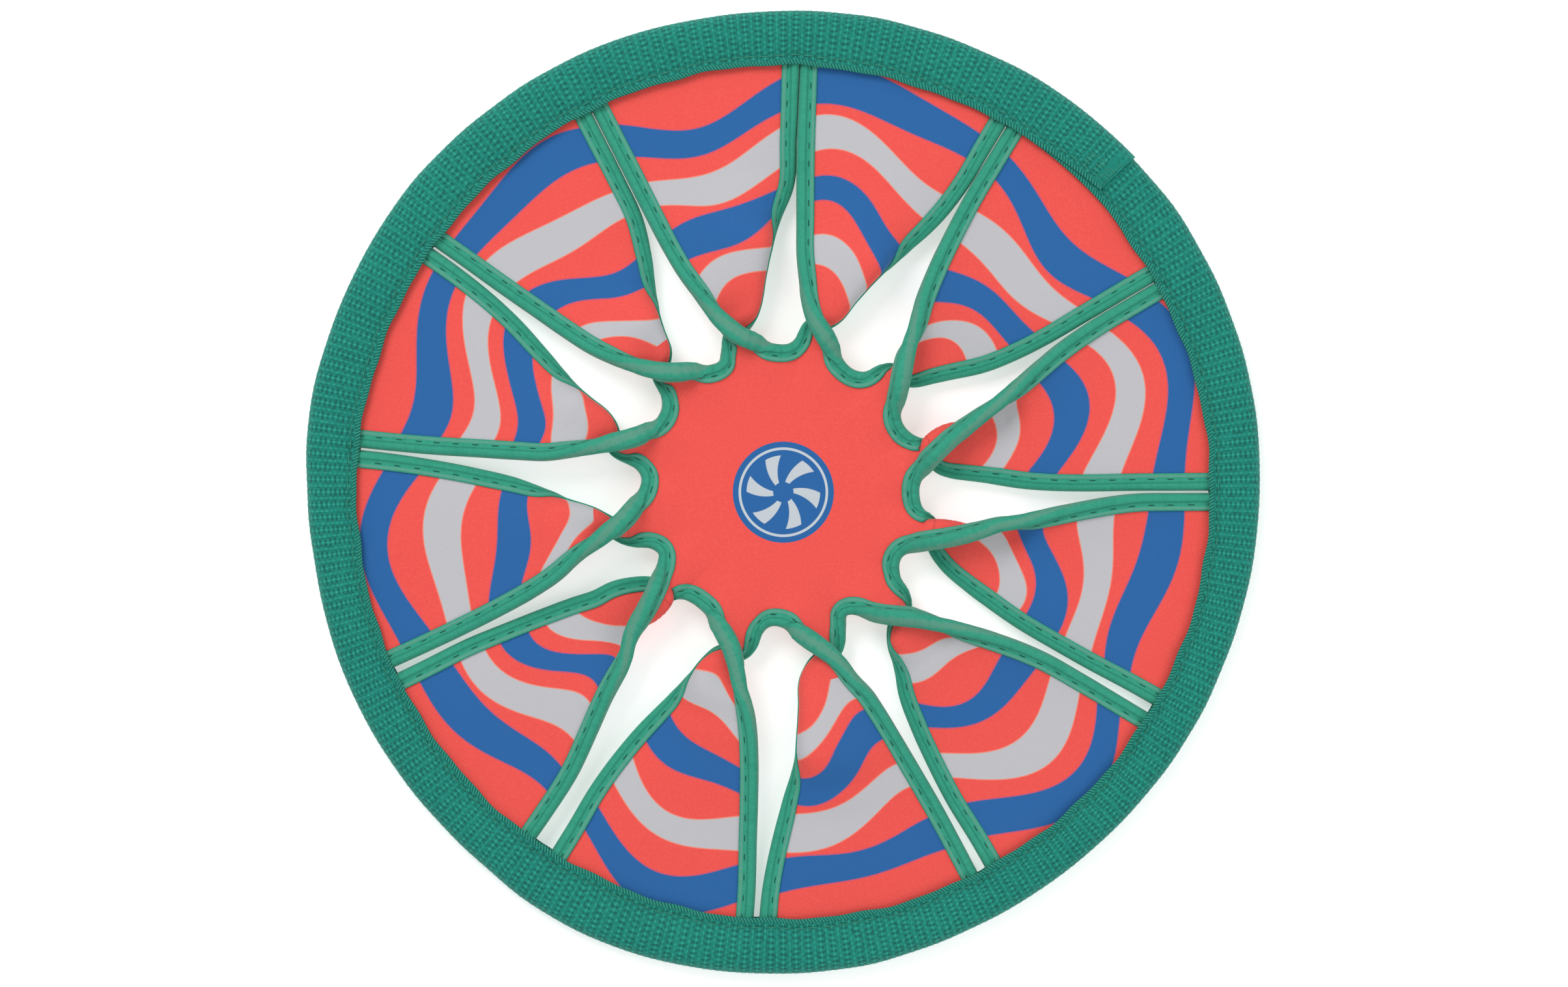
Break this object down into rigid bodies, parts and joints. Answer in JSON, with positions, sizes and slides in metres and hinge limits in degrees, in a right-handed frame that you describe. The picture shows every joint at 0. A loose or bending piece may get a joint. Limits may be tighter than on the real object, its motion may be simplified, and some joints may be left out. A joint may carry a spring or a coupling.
{
  "type": "flying ring",
  "caption": "Soft flying ring: a round hub joined to a webbing-covered rim by half-twisted vanes, with bound slots between them.",
  "frame": {"origin": "on the spin axis, in the plane that the rim rests on", "axes": "+Z along the spin axis, up from the resting plane; +Y towards twelve o'clock and +X towards three o'clock as seen from above"},
  "size_m": [0.3, 0.3, 0.0166],
  "materials": {
    "foam": "matte closed-cell foam",
    "printed_knit": "matte stretch knit with a wavy band print",
    "binding": "soft ribbed knit strip, folded",
    "binding_thread": "twisted polyester thread",
    "webbing": "coarse woven webbing",
    "hoop": "flexible tube",
    "joiner": "matte",
    "rim_thread": "twisted polyester thread"
  },
  "bodies": {
    "root": {"foam_core": "foam", "face_knit": "printed_knit", "back_knit": "printed_knit", "slot_binding_01": "binding", "slot_binding_02": "binding", "slot_binding_03": "binding", "slot_binding_04": "binding", "slot_binding_05": "binding", "slot_binding_06": "binding", "slot_binding_07": "binding", "slot_binding_08": "binding", "slot_binding_09": "binding", "slot_binding_10": "binding", "slot_binding_11": "binding", "slot_binding_12": "binding", "slot_thread_01": "binding_thread", "slot_thread_02": "binding_thread", "slot_thread_03": "binding_thread", "slot_thread_04": "binding_thread", "slot_thread_05": "binding_thread", "slot_thread_06": "binding_thread", "slot_thread_07": "binding_thread", "slot_thread_08": "binding_thread", "slot_thread_09": "binding_thread", "slot_thread_10": "binding_thread", "slot_thread_11": "binding_thread", "slot_thread_12": "binding_thread", "rim_webbing": "webbing", "rim_hoop": "hoop", "hoop_joiner": "joiner", "rim_thread": "rim_thread", "lap_thread": "rim_thread"}
  },
  "joints": []
}
